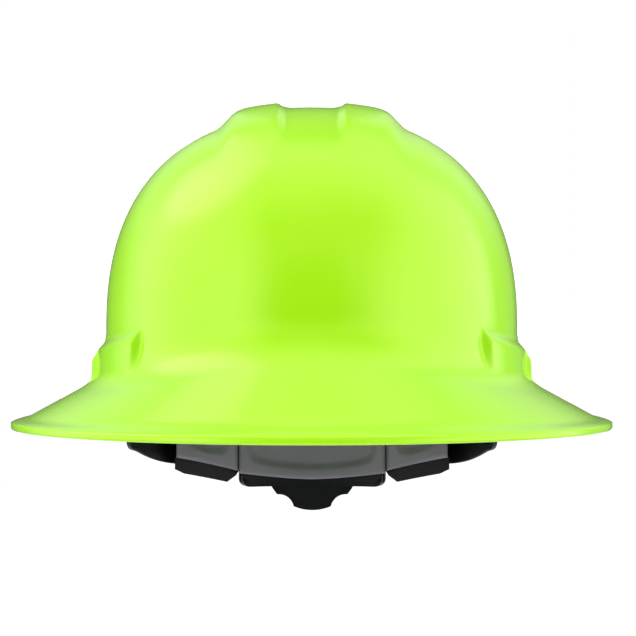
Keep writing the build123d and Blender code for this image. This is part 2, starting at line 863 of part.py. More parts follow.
def arm_sections(strip_radius):
    """Place, outward direction and height of the arm on the +X side, from its strip to the headband."""
    middle = strip_radius + strip_thickness / 2
    start = (travel() + window_end_gap + strip_end + running_gap) / middle
    height = 2 * strip_half_height()
    turns = {
        start: knob_level,
        radians(arm_turn_angle): arm_turn_level,
        radians(arm_leave_angle): arm_leave_level,
    }
    sections = []
    for angle, level in turns.items():
        out = (sin(angle), cos(angle), 0)
        sections.append(((middle * out[0], nape_axis_y + middle * out[1], level), out, height))
    bend = (arm_bend_x, arm_bend_y, arm_bend_level)
    sections.append((bend, (1, bend_turn_share, 0), height + arm_growth / 2))
    sections.append(((arm_bulge_x, arm_bulge_y, arm_bulge_level), (1, 0, 0), height + arm_growth))
    for along, level in ((arm_rise_y, arm_rise_level), (arm_end_y, arm_end_level)):
        lift = (arm_end_level - level) / arm_end_level
        bulge = lift * (arm_bulge_x - headband_half_width)
        x = headband_side(along) + arm_seat_gap + arm_thickness / 2 + bulge
        sections.append(((x, along, level), (1, 0, 0), headband_height - 2 * arm_growth))
    return sections


def make_arm(strip_radius, side):
    """Flexible arm from a toothed strip up to the side of the headband."""
    faces = []
    for place, out, height in arm_sections(strip_radius):
        outward = Vector(*out).normalized()
        plane = Plane(place, x_dir=outward, z_dir=outward.cross(Vector(0, 0, 1)))
        faces.append(plane * Rectangle(arm_thickness, height))
    arm = loft(faces) - rivet_bars(arm_rivet_radius + square_gap)
    return arm if side > 0 else mirror(arm, about=Plane.YZ)


def rivet_bars(radius):
    """Bars on the axes of the two rivets of the +X side."""
    bars = []
    for step in (-1, 1):
        place = (headband_side(rivet_y), rivet_y, arm_end_level + step * arm_rivet_pitch / 2)
        bars.append(Pos(*place) * Rotation(0, 90, 0) * Cylinder(radius, headband_rear_gap))
    return bars


def make_rivets():
    """Four rivets that hold the arms on the headband."""
    rivets = []
    inner_face = headband_side(rivet_y) - headband_thickness
    outer_face = headband_side(rivet_y) + arm_seat_gap + arm_thickness
    for step in (-1, 1):
        level = arm_end_level + step * arm_rivet_pitch / 2
        start = Pos(inner_face - 2 * seat_gap, rivet_y, level) * Rotation(0, 90, 0)
        align = (Align.CENTER, Align.CENTER, Align.MIN)
        shank = start * Cylinder(arm_rivet_radius, outer_face - inner_face + 5 * seat_gap, align=align)
        head = Cylinder(arm_rivet_head_radius, arm_rivet_head, align=align)
        cap = start * Pos(0, 0, -arm_rivet_head) * head
        far = Pos(outer_face + 3 * seat_gap, rivet_y, level) * Rotation(0, 90, 0)
        rivets.append(shank + cap + far * Cylinder(arm_rivet_head_radius, arm_rivet_head, align=align))
    return Part() + (rivets + [mirror(rivet, about=Plane.YZ) for rivet in rivets])


rivet_holes = rivet_bars(arm_rivet_radius + square_gap)
rivet_holes += [mirror(bar, about=Plane.YZ) for bar in rivet_bars(arm_rivet_radius + square_gap)]
pads = make_pads()
nodes = {
    "headband": make_headband() - rivet_holes,
    "brow_pad": make_brow_pad(),
    "crown_strap_lower": make_strap(key_turns["front_left"], 0),
    "crown_strap_upper": make_strap(key_turns["front_right"], strap_thickness + strap_gap),
    "nape_arm_left": make_arm(outer_strip_radius(), 1),
    "nape_arm_right": make_arm(inner_strip_radius(), -1),
    "arm_rivets": make_rivets(),
    "nape_band": make_nape_band(),
    "nape_pad_centre": pads["centre"],
    "nape_pad_left": pads["left"],
    "nape_pad_right": pads["right"],
    "ratchet_base": make_base(),
    "ratchet_cover": make_cover(),
    "toothed_strip_left": make_strip(outer_strip_radius(), 1 / 2, 1),
    "toothed_strip_right": make_strip(inner_strip_radius(), 0, -1),
    "drive_pinion": make_pinion(),
    "pawl_spring": make_pawls(),
    "ratchet_knob": make_knob(),
    "axle_washer": make_washer(),
    "axle_screw": make_axle_screw(),
}
for name, turn in key_turns.items():
    nodes["suspension_key_" + name] = make_key(turn)
nodes["shell"] = make_shell()
for name, solid in nodes.items():
    export_step(solid, f"parts/{name}.step")
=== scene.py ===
import json
from math import cos, pi, radians, sin, sqrt

import bpy
import numpy as np
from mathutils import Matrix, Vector

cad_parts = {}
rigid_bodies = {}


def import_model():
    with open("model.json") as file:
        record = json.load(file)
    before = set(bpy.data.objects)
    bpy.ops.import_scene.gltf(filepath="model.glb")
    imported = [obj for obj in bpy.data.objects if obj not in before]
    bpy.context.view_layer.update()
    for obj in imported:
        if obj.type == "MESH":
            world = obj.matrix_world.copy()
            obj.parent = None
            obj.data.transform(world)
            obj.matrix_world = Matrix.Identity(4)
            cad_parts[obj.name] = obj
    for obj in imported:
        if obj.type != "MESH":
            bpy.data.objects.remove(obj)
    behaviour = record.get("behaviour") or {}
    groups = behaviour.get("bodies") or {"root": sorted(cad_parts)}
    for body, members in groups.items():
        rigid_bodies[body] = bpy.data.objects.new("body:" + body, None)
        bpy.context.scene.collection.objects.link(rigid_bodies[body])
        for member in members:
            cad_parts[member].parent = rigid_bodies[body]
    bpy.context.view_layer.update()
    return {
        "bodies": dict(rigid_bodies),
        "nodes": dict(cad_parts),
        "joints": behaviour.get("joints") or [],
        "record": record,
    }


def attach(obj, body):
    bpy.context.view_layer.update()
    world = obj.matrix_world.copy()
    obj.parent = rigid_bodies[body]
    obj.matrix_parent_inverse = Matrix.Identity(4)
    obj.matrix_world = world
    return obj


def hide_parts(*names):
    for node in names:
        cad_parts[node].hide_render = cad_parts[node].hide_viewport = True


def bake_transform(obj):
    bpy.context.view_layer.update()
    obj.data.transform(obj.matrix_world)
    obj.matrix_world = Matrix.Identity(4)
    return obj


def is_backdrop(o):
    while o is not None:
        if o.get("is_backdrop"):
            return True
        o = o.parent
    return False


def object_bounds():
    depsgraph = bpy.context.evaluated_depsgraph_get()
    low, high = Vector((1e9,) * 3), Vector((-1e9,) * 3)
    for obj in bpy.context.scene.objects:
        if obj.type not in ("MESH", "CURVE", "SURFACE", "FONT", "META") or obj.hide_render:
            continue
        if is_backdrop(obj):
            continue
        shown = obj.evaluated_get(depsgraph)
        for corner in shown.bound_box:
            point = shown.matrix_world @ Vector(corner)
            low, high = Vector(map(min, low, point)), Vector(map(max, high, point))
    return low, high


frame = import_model()
nodes = frame["nodes"]


# Shell: one injection moulding of glossy high-visibility lime polyethylene, with a full brim rolled
# down into a lip, twin ridges along the crown, a boss and slot box on both sides, and four sockets
# inside for the suspension.
crown_half_width = 0.0985
crown_half_length = 0.117
crown_height = 0.1485
widest_level = 0.045
roundness = 2.4
shell_wall = 0.0026
side_flare = 0.018
brim_half_width = 0.1429
brim_half_length = 0.161
brim_forward = 0.006
root_level_side = 0.024
root_rise_front = 0.018
root_rise_rear = 0.005
rim_top = 0.002
rim_thickness = 0.003
rim_round = 0.0011
lip_width = 0.0085
lip_share = 0.22
root_blend = 0.014

plateau_rise = 0.0036
plateau_half_width = 0.030
plateau_foot = 0.047
plateau_end = 0.080
ridge_rise = 0.0026
ridge_floor_half_width = 0.0108
ridge_inner_top = 0.0168
ridge_outer_top = 0.034
ridge_outer_foot = 0.0465
ridge_full_length = 0.050
ridge_end = 0.082
ridge_start_level = 0.095
ridge_full_level = 0.115

boss_rise = 0.0044
boss_half_length = 0.0725
boss_top_middle = 0.0355
boss_top_end = 0.0418
boss_limit = 0.0490
box_face = 0.1041
box_half_length = 0.021
box_top = 0.0320
step_steepness = 9.0
moulding_round = 0.0011
slot_width = 0.0034
slot_half_length = 0.016
slot_wall = 0.0017
slot_top = 0.0318
socket_bottom = 0.042
socket_height = 0.018
socket_half_width = 0.013
socket_root = 0.0009
socket_depth = 0.0055
pocket_half_width = 0.0097
pocket_near = 0.0016
pocket_far = 0.0040
pocket_top = 0.0577
key_turn = radians(50)

brim_rows = 46
root_rows = 22
crown_rows = 96
inner_crown_rows = 40
row_crowding = 1.15
boss_row_step = 0.0004
boss_row_margin = 0.001
row_gap_share = 0.003
top_share = 0.99985
inner_top_share = 0.9997
rim_shares = (0.95, 0.6, 0.3)
rim_steps = 6
plain_turn = radians(1.0)
fine_turn = radians(0.13)
fine_reach = radians(1.1)
least_push = 0.00012


def step_up(value, start, end):
    """Goes smoothly from 0 at start to 1 at end."""
    share = np.clip((value - start) / (end - start), 0, 1)
    return share * share * (3 - 2 * share)


def larger(first, second, round_off):
    """The larger of two surfaces, with the crease between them rounded."""
    return (first + second + np.sqrt((first - second) ** 2 + round_off**2)) / 2


def smaller(first, second, round_off):
    """The smaller of two surfaces, with the edge between them rounded."""
    return -larger(-first, -second, round_off)


def root_level(turn):
    """Height at which the brim meets the crown wall in the plan direction turn."""
    front = np.clip(-np.sin(turn), 0, 1) ** 4
    rear = np.clip(np.sin(turn), 0, 1) ** 2
    return root_level_side + root_rise_front * front + root_rise_rear * rear


def wall_size(level, inset):
    """Size of the crown's plan at a level, as a share of its widest plan."""
    climb = np.clip((level - widest_level) / (crown_height - inset - widest_level), 0, 1)
    dome = (1 - climb**roundness) ** (1 / roundness)
    return np.where(level < widest_level, 1 + side_flare * (widest_level - level) / widest_level, dome)


def wall_point(turn, level, inset):
    """Points of the crown wall, inset into the shell."""
    size = wall_size(level, inset)
    x = (crown_half_width - inset) * size * np.cos(turn)
    y = (crown_half_length - inset) * size * np.sin(turn)
    return np.stack([x, y, level + 0 * turn], -1)


def rim_point(turn, back, level):
    """Points level with the rim, set back from its edge."""
    x = (brim_half_width - back) * np.cos(turn)
    y = (brim_half_length - back) * np.sin(turn) - brim_forward
    return np.stack([x, y, level + 0 * turn], -1)


def brim_point(turn, way_out, inset):
    """Points of the brim, from its root at 0 to the rim at 1, with the rolled lip near the rim."""
    way_out = way_out + 0 * turn
    drop = inset * rim_thickness / shell_wall
    root = wall_point(turn, root_level(turn) - drop, inset)
    rim = rim_point(turn, inset, rim_top - drop)
    flat = root + (rim - root) * way_out[:, None]
    lip = rim_top * step_up(way_out, 1 - lip_share, 1)
    flat[:, 2] = root[:, 2] * (1 - way_out) - drop * way_out + lip
    return flat


def skin(turn, inset, levels):
    """Rows of points from beside the rim up to the crown's top, on the outer or the inner skin."""
    foot = brim_point(turn, 0, inset)
    blend_start = root_blend / np.linalg.norm(brim_point(turn, 1, inset) - foot, axis=-1)
    start = brim_point(turn, blend_start, inset)
    end = wall_point(turn, foot[:, 2] + root_blend, inset)
    outermost = 1 - (lip_width / (brim_half_width - crown_half_width) if inset else 0)
    rows = []
    for way in np.linspace(0, 1, brim_rows)[:-1]:
        rows.append(brim_point(turn, outermost + (blend_start - outermost) * way, inset))
    for way in np.linspace(0, 1, root_rows)[:-1]:
        first = start + (foot - start) * way
        second = foot + (end - foot) * way
        rows.append(first + (second - first) * way)
    for share in levels:
        rows.append(wall_point(turn, end[:, 2] + (crown_height - inset - end[:, 2]) * share, inset))
    return np.stack(rows)


def outward(rows):
    """Normals of a closed grid of points."""
    along = np.gradient(rows, axis=0)
    wrapped = np.concatenate([rows[:, -1:], rows, rows[:, :1]], 1)
    across = (wrapped[:, 2:] - wrapped[:, :-2]) / 2
    normal = np.cross(across, along)
    return normal / np.maximum(np.linalg.norm(normal, axis=-1, keepdims=True), 1e-12)


def ridge_relief(points):
    """Height above the dome of the raised top and of the twin ridges on it."""
    x = np.abs(points[..., 0])
    y = np.abs(points[..., 1])
    outer_side = 1 - step_up(x, ridge_outer_top, ridge_outer_foot)
    across = step_up(x, ridge_floor_half_width, ridge_inner_top) * outer_side
    along = 1 - step_up(y, ridge_full_length, ridge_end)
    plateau = (1 - step_up(x, plateau_half_width, plateau_foot)) * (1 - step_up(y, 0, plateau_end))
    high = step_up(points[..., 2], ridge_start_level, ridge_full_level)
    return (ridge_rise * across * along + plateau_rise * plateau) * high


def side_mouldings(points):
    """Pushes the sides of the skin out to the boss and the slot box on it."""
    x = np.abs(points[..., 0])
    y = np.abs(points[..., 1])
    z = points[..., 2]
    half_width, half_length = crown_half_width + boss_rise, crown_half_length + boss_rise
    oval = half_width * np.sqrt(np.clip(1 - (y / half_length) ** 2, 0, 1))
    edge_level = boss_top_middle + (boss_top_end - boss_top_middle) * (y / boss_half_length) ** 2
    boss = smaller(oval, oval - (z - edge_level), moulding_round)
    boss = boss - step_steepness * np.maximum(y - boss_half_length, 0)
    top = box_face - (z - box_top)
    ends = box_face - step_steepness * (y - box_half_length)
    box = smaller(box_face + 0 * z, smaller(top, ends, moulding_round), moulding_round)
    pushed = larger(x, larger(boss, box, moulding_round), moulding_round)
    pushed = np.where(z > boss_limit, x, pushed)
    moved = points.copy()
    moved[..., 0] = np.sign(points[..., 0]) * np.where(pushed - x < least_push, x, pushed)
    return moved


def grid_piece(name, rows, closed=True, capped=True):
    """Mesh object from rows of points, closed into tubes and capped at both ends."""
    count, around = rows.shape[:2]
    faces = []
    for row in range(count - 1):
        for column in range(around if closed else around - 1):
            beside = (column + 1) % around
            low, high = row * around, (row + 1) * around
            faces.append((low + column, low + beside, high + beside, high + column))
    if capped:
        faces.append(tuple(reversed(range(around))))
        faces.append(tuple((count - 1) * around + column for column in range(around)))
    return piece_from(name, rows.reshape(-1, 3), faces)


def piece_from(name, points, faces):
    """Smooth mesh object from points and faces."""
    mesh = bpy.data.meshes.new(name)
    mesh.from_pydata([tuple(point) for point in points], [], faces)
    mesh.validate()
    mesh.polygons.foreach_set("use_smooth", [True] * len(mesh.polygons))
    piece = bpy.data.objects.new(name, mesh)
    bpy.context.scene.collection.objects.link(piece)
    return piece


def fine_near(start, end, places, reach, fine, coarse):
    """Sorted values from start to end, fine near some places and coarse elsewhere."""
    values = set(np.round(np.arange(start, end, coarse), 9))
    for place in places:
        values |= set(np.round(np.arange(place - reach, place + reach, fine), 9))
    values = np.array(sorted(value for value in values if start <= value < end))
    keep = np.concatenate([[True], np.diff(values) > fine / 3])
    return values[keep]


end_turns = []
for edge in (boss_half_length, box_half_length):
    turn = np.arcsin(edge / crown_half_length)
    end_turns += [turn, pi - turn, pi + turn, 2 * pi - turn]
turns = fine_near(0, 2 * pi, end_turns, fine_reach, fine_turn, plain_turn)
wall_start = root_level_side + root_blend
boss_levels = np.arange(0, boss_limit + boss_row_margin - wall_start, boss_row_step)
fine_shares = boss_levels / (crown_height - wall_start)
dome_shares = np.sin(np.linspace(0, pi / 2, crown_rows)) ** row_crowding
dome_shares = dome_shares[dome_shares > fine_shares[-1] + row_gap_share]
outer_levels = np.concatenate([fine_shares, dome_shares[:-1], [top_share]])
inner_shares = np.sin(np.linspace(0, pi / 2, inner_crown_rows))[:-1] ** row_crowding
inner_levels = np.concatenate([inner_shares, [inner_top_share]])

outer = skin(turns, 0, outer_levels)
outer = side_mouldings(outer + outward(outer) * ridge_relief(outer)[..., None])
inner = skin(turns, shell_wall, inner_levels)
inner = inner + outward(inner) * ridge_relief(inner)[..., None]
bottom = rim_top - rim_thickness
edge_rows = []
for way in np.linspace(0, pi / 2, rim_steps):
    edge_rows.append(rim_point(turns, rim_round * (1 - cos(way)), bottom + rim_round * (1 - sin(way))))
rim_rows = [rim_point(turns, lip_width * share, bottom) for share in rim_shares]
rim_rows += edge_rows[::-1]
rows = np.concatenate([inner[::-1], np.stack(rim_rows), outer])
shell = grid_piece("moulded_shell", rows)


def key_place(turn, along, inward, level):
    """Place on the inner wall at a key: along the wall, into the crown and up."""
    seat = wall_point(np.array([turn]), socket_bottom, shell_wall)[0]
    into = -np.array([cos(turn) / crown_half_width, sin(turn) / crown_half_length])
    into /= np.linalg.norm(into)
    return (*(seat[:2] + into * inward + np.array([into[1], -into[0]]) * along), level)


def key_block(name, turn, half_width, near, far, bottom, top):
    """Upright block on the inner wall at a key."""
    sides = ((-half_width, near), (half_width, near), (half_width, far), (-half_width, far))
    points = []
    for level in (bottom, top):
        points += [key_place(turn, along, inward, level) for along, inward in sides]
    return box_from(name, points)


def box_from(name, points):
    """Flat-sided box from four low corners and the four above them."""
    faces = [(3, 2, 1, 0), (4, 5, 6, 7), (0, 1, 5, 4), (1, 2, 6, 5), (2, 3, 7, 6), (3, 0, 4, 7)]
    box = piece_from(name, points, faces)
    box.data.polygons.foreach_set("use_smooth", [False] * 6)
    return box


def combine(piece, others, operation):
    """Adds other solids to a piece or cuts them out of it, and takes them away."""
    for other in others:
        change = piece.modifiers.new("change", "BOOLEAN")
        change.operation = operation
        change.solver = "MANIFOLD"
        change.object = other
        bake_modifiers(piece)
        bpy.data.objects.remove(other)


def bake_modifiers(piece):
    """Turns a piece and its modifiers into one plain mesh."""
    bpy.context.view_layer.update()
    result = piece.evaluated_get(bpy.context.evaluated_depsgraph_get())
    mesh = bpy.data.meshes.new_from_object(result)
    piece.modifiers.clear()
    piece.data = mesh


key_turns = (-key_turn, pi + key_turn, key_turn, pi - key_turn)
socket_top = socket_bottom + socket_height
sockets = [
    key_block("socket", turn, socket_half_width, -socket_root, socket_depth, socket_bottom, socket_top)
    for turn in key_turns
]
combine(shell, sockets, "UNION")
pockets = [
    key_block("pocket", turn, pocket_half_width, pocket_near, pocket_far, socket_bottom / 2, pocket_top)
    for turn in key_turns
]
slot_out = box_face - slot_wall
front, rear = -slot_half_length, slot_half_length
for side in (-1, 1):
    near, far = sorted((side * slot_out, side * (slot_out - slot_width)))
    corners = ((near, front), (far, front), (far, rear), (near, rear))
    points = [(x, y, level) for level in (rim_top, slot_top) for x, y in corners]
    pockets.append(box_from("slot", points))
combine(shell, pockets, "DIFFERENCE")
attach(shell, "hat")
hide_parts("shell")


class Wire:
    """One output in a material's node tree. Sums, differences and products add Math nodes."""

    def __init__(self, tree, socket):
        self.tree = tree
        self.socket = socket

    def add(self, kind, inputs, output=0, **settings):
        """Adds a node: its settings first, then a value or a wire for each socket."""
        made = self.tree.nodes.new(kind)
        for name, value in settings.items():
            setattr(made, name, value)
        for name, value in inputs.items():
            if isinstance(value, Wire):
                self.tree.links.new(value.socket, made.inputs[name])
            else:
                made.inputs[name].default_value = value
        return Wire(self.tree, made.outputs[output])

    def math(self, operation, first, second):
        return self.add("ShaderNodeMath", {0: first, 1: second}, operation=operation)

    def __add__(self, other):
        return self.math("ADD", self, other)

    def __sub__(self, other):
        return self.math("SUBTRACT", self, other)

    def __rsub__(self, other):
        return self.math("SUBTRACT", other, self)

    def __mul__(self, other):
        return self.math("MULTIPLY", self, other)

    __radd__ = __add__
    __rmul__ = __mul__

    def noise(self, scale, detail=2.0):
        """Soft mottling, from 0 to 1, at this place."""
        return self.add("ShaderNodeTexNoise", {"Vector": self, "Scale": scale, "Detail": detail})

    def between(self, dark, light):
        """A colour between two, by this value."""
        return self.add(
            "ShaderNodeMix", {0: self, 6: (*dark, 1), 7: (*light, 1)}, output=2, data_type="RGBA"
        )


def new_finish(name, roughness, constants=()):
    """A new plastic-like material: the material, its shader and a wire of places on the object."""
    material = bpy.data.materials.new(name)
    material.use_nodes = True
    shader = material.node_tree.nodes["Principled BSDF"]
    shader.inputs["Roughness"].default_value = roughness
    for socket, value in dict(constants).items():
        shader.inputs[socket].default_value = value
    source = material.node_tree.nodes.new("ShaderNodeTexCoord")
    return material, shader, Wire(material.node_tree, source.outputs["Object"])


def feed(shader, socket, wire):
    """Runs a wire into one of the shader's sockets."""
    wire.tree.links.new(wire.socket, shader.inputs[socket])


def grain(shader, height, depth, strength=1.0):
    """Fine relief on the surface, depth metres from its low to its high places."""
    bumped = height.add("ShaderNodeBump", {"Height": height, "Distance": depth, "Strength": strength})
    feed(shader, "Normal", bumped)


def wear(piece, material):
    """Gives a piece one finish all over."""
    piece.data.materials.clear()
    piece.data.materials.append(material)


lime = (0.41, 0.90, 0.0)
lime_deep = (0.385, 0.87, 0.0)
lime_plastic, shader, place = new_finish(
    "glossy_lime_polyethylene", 0.07, {"Specular IOR Level": 1.0, "Specular Tint": (1, 0.85, 0.45, 1)}
)
feed(shader, "Base Color", place.noise(18.0).between(lime_deep, lime))
feed(shader, "Roughness", place.noise(55.0, 4.0) * 0.03 + 0.06)
grain(shader, place.noise(210.0, 1.0), 0.00004, 0.35)
wear(shell, lime_plastic)


# Suspension keys: four black nylon hangers. Each blade clips into a socket of the shell, and its shelf
# carries the headband.
nylon_dark = (0.0026, 0.0028, 0.0042)
nylon_light = (0.0052, 0.0056, 0.0080)
nylon, shader, place = new_finish("black_moulded_nylon", 0.4, {"Specular IOR Level": 0.14})
feed(shader, "Base Color", place.noise(90.0).between(nylon_dark, nylon_light))
feed(shader, "Roughness", place.noise(700.0, 3.0) * 0.16 + 0.32)
grain(shader, place.noise(2600.0, 2.0), 0.00006, 0.5)
for name in ("front_left", "front_right", "rear_left", "rear_right"):
    wear(nodes["suspension_key_" + name], nylon)


# Crown straps: two bands of black polyester webbing, 19 mm wide, that cross over the head from each
# front key to the opposite rear key. Their ends are folded back and sewn.
strap_width = 0.019
strap_thickness = 0.0012
strap_start_level = 0.034
strap_top = 0.112
strap_gap = 0.0023
strap_inward = 0.0073
strap_shoulder = 0.74
strap_shoulder_level = 0.66
strap_edge_round = 0.0005
strap_rows = 220
fold_length = 0.017
fold_end = 0.0008
fold_thickness = 0.0009
yarn_pitch = 0.0014
yarn_slant = 0.0022
rib_pitch = 0.0019
stitch_line_out = 0.0072
stitch_line_half = 0.0004
stitch_pitch = 0.0028
stitch_share = -0.3
stitch_rise = 1.6


def smooth_line(points, first, last, count):
    """Points along a smooth line through some points, with given directions at its ends."""
    points = np.array(points, float)
    steps = np.linalg.norm(np.diff(points, axis=0), axis=1)
    places = np.concatenate([[0], np.cumsum(steps)])
    slopes = np.gradient(points, places, axis=0)
    slopes[0] = np.array(first) / np.linalg.norm(first)
    slopes[-1] = np.array(last) / np.linalg.norm(last)
    line = []
    for place in np.linspace(0, places[-1], count):
        span = min(int(np.searchsorted(places, place, "right")) - 1, len(steps) - 1)
        way = (place - places[span]) / steps[span]
        start, end = points[span], points[span + 1]
        pull = steps[span] * slopes[span], steps[span] * slopes[span + 1]
        blend = way * way * (3 - 2 * way)
        bow = way * (1 - way)
        line.append(start + (end - start) * blend + bow * ((1 - way) * pull[0] - way * pull[1]))
    return np.array(line)


def flat_section(width, thickness, edge_round, steps=5):
    """Outline of a flat strip with rounded edges, as places across and through it."""
    half_width, half_depth = width / 2, thickness / 2
    corner = min(edge_round, half_depth, half_width) * 0.999
    outline = []
    for side, (across, through) in enumerate(((1, 1), (-1, 1), (-1, -1), (1, -1))):
        for step in range(steps + 1):
            turn = pi / 2 * (side + step / steps)
            x = across * (half_width - corner) + corner * cos(turn)
            outline.append((x, through * (half_depth - corner) + corner * sin(turn)))
    return np.array(outline)


def swept(line, across, through, sections):
    """Rows of points of a strip along a line, from its directions across and through."""
    rows = []
    for place, side, face, section in zip(line, across, through, sections):
        rows.append(place + np.outer(section[:, 0], side) + np.outer(section[:, 1], face))
    return np.stack(rows)


def crown_strap(name, turn, lift):
    """One strap, from the front key at this turn over the head to the opposite rear key."""
    seat = wall_point(np.array([turn]), socket_bottom, shell_wall)[0]
    inward = -np.array([cos(turn) / crown_half_width, sin(turn) / crown_half_length])
    low = seat[:2] + inward / np.linalg.norm(inward) * strap_inward
    reach = np.linalg.norm(low)
    ahead = np.array([low[0], low[1], 0]) / reach
    top = strap_top + lift
    shoulder = strap_start_level + (top - strap_start_level) * strap_shoulder_level
    outline = [(reach, strap_start_level), (reach * strap_shoulder, shoulder), (0, top)]
    outline += [(-x, z) for x, z in outline[1::-1]]
    flat = smooth_line(outline, (0, 1), (0, -1), strap_rows)
    line = flat[:, :1] * ahead + flat[:, 1:] * np.array([0, 0, 1])
    direction = np.gradient(line, axis=0)
    direction /= np.linalg.norm(direction, axis=1, keepdims=True)
    side = np.cross(ahead, (0, 0, 1))
    through = np.cross(np.tile(side, (len(line), 1)), direction)
    travelled = np.concatenate([[0], np.cumsum(np.linalg.norm(np.diff(line, axis=0), axis=1))])
    from_end = np.minimum(travelled, travelled[-1] - travelled)
    folded = 1 - step_up(from_end, fold_length, fold_length + fold_end)
    sections = [
        flat_section(strap_width, thickness, strap_edge_round)
        for thickness in strap_thickness + fold_thickness * folded
    ]
    line = line - through * strap_thickness / 2
    rows = swept(line, [side] * len(line), through, sections)
    strap = grid_piece(name, rows)
    cloth = np.stack(
        [
            np.repeat(travelled, rows.shape[1]),
            np.concatenate([section[:, 0] for section in sections]),
            np.repeat(from_end, rows.shape[1]),
        ],
        -1,
    )
    attribute = strap.data.attributes.new("cloth", "FLOAT_VECTOR", "POINT")
    attribute.data.foreach_set("vector", cloth.ravel())
    return strap


def wave(value):
    """Sine of a value."""
    return value.math("SINE", value, 0)


def size_of(value):
    """A value without its sign."""
    return value.math("ABSOLUTE", value, 0)


webbing_dark = (0.006, 0.006, 0.007)
webbing_light = (0.022, 0.022, 0.025)
webbing, shader, place = new_finish(
    "black_polyester_webbing", 0.75, {"Sheen Weight": 0.25, "Specular IOR Level": 0.3}
)
cloth = place.add("ShaderNodeAttribute", {}, output=1, attribute_name="cloth")
along = cloth.add("ShaderNodeSeparateXYZ", {0: cloth}, output=0)
across = cloth.add("ShaderNodeSeparateXYZ", {0: cloth}, output=1)
from_end = cloth.add("ShaderNodeSeparateXYZ", {0: cloth}, output=2)
yarns = wave(along * (2 * pi / yarn_pitch) + across * (2 * pi / yarn_slant)) * 0.5 + 0.5
ribs = wave(across * (2 * pi / rib_pitch)) * 0.5 + 0.5
off_line = size_of(size_of(across) - stitch_line_out)
stitch_line = off_line.math("LESS_THAN", off_line, stitch_line_half)
stitch_wave = wave(from_end * (2 * pi / stitch_pitch))
stitch = stitch_wave.math("GREATER_THAN", stitch_wave, stitch_share)
sewn = stitch_line * stitch * from_end.math("LESS_THAN", from_end, fold_length)
weave = yarns * ribs * (1 - sewn) + sewn * stitch_rise
mottling = weave * 0.6 + place.noise(300.0) * 0.4
feed(shader, "Base Color", mottling.between(webbing_dark, webbing_light))
grain(shader, weave, 0.00025, 0.8)
straps = (("lower", -key_turn, 0.0), ("upper", pi + key_turn, strap_thickness + strap_gap))
for name, turn, lift in straps:
    strap = crown_strap("webbing_" + name, turn, lift)
    wear(strap, webbing)
    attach(strap, "hat")
    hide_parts("crown_strap_" + name)


# Headband: a thin black polyethylene band round the head, open at the nape, moulded with a satin face.
band_dark = (0.0026, 0.0028, 0.0042)
band_light = (0.0050, 0.0054, 0.0078)
band_plastic, shader, place = new_finish("black_satin_polyethylene", 0.45, {"Specular IOR Level": 0.14})
feed(shader, "Base Color", place.noise(60.0).between(band_dark, band_light))
feed(shader, "Roughness", place.noise(900.0, 3.0) * 0.14 + 0.38)
grain(shader, place.noise(1800.0, 2.0), 0.00004, 0.4)
wear(nodes["headband"], band_plastic)


# Brow pad: foam in knitted black cloth, stitched along both edges and quilted across, that lies inside
# the front of the headband. Its cover is blown up between the stitched lines.
headband_half_width = 0.084
headband_half_length = 0.101
brow_out = 0.0019
brow_thickness = 0.0045
brow_bottom = 0.0205
brow_height = 0.036
brow_rear_edge = 0.030
brow_end_taper = 0.035
brow_channel_pitch = 0.021
brow_channel_half_width = 0.0009
brow_channel_slope = 0.0016
brow_channel_depth = 0.45
brow_edge = 0.0016
brow_edge_share = 0.04
brow_flatness = 3.2
brow_fullness = 0.6
brow_back_gap = 0.0001
brow_start_share = 0.7
brow_swell = 0.0011
brow_pressure = 32.0
brow_columns = 180
brow_face_rows = 26
brow_back_rows = 8
brow_hem_rows = 2
cloth_frames = 20


def brow_cover():
    """The pad's sections from its right end round the forehead to its left end, and its sewn points."""
    half_width = headband_half_width - brow_out
    half_length = headband_half_length - brow_out
    end = np.arccos(brow_rear_edge / half_length)
    rows, sewn = [], []
    reach = 0
    last = None
    around = brow_face_rows + brow_back_rows
    for column, turn in enumerate(np.linspace(-end, end, brow_columns)):
        place = np.array([half_width * sin(turn), -half_length * cos(turn), 0])
        inward = -np.array([sin(turn) / half_width, -cos(turn) / half_length, 0])
        inward /= np.linalg.norm(inward)
        reach += 0 if last is None else np.linalg.norm(place - last)
        last = place
        ends = min(1, (end - abs(turn)) / brow_end_taper) if abs(turn) < end else 0
        off_channel = abs(reach % brow_channel_pitch - brow_channel_pitch / 2)
        channel = 1 - brow_channel_depth * np.exp(-((off_channel / brow_channel_slope) ** 2))
        rows.append(brow_section(place, inward, sqrt(max(ends * (2 - ends), 0)) * channel))
        at_end = not brow_hem_rows <= column < brow_columns - brow_hem_rows
        whole_section = at_end or off_channel < brow_channel_half_width
        for row in range(around):
            if whole_section or not brow_hem_rows <= row < brow_face_rows - brow_hem_rows:
                sewn.append(column * around + row)
    return np.stack(rows), sewn


def brow_section(place, inward, fullness):
    """One closed section: flat against the headband and crowned towards the forehead."""
    points = []
    for way in np.linspace(0, 1, brow_face_rows):
        crown = (1 - abs(2 * way - 1) ** brow_flatness) ** brow_fullness * fullness
        crown = brow_edge + (brow_thickness - brow_edge) * brow_start_share * crown
        edge = sqrt(min(1, min(way, 1 - way) / brow_edge_share))
        points.append(place + inward * crown * edge + np.array([0, 0, brow_bottom + brow_height * way]))
    for way in np.linspace(1, 0, brow_back_rows):
        level = brow_bottom + brow_height * way
        points.append(place + inward * brow_back_gap + np.array([0, 0, level]))
    return np.array(points)


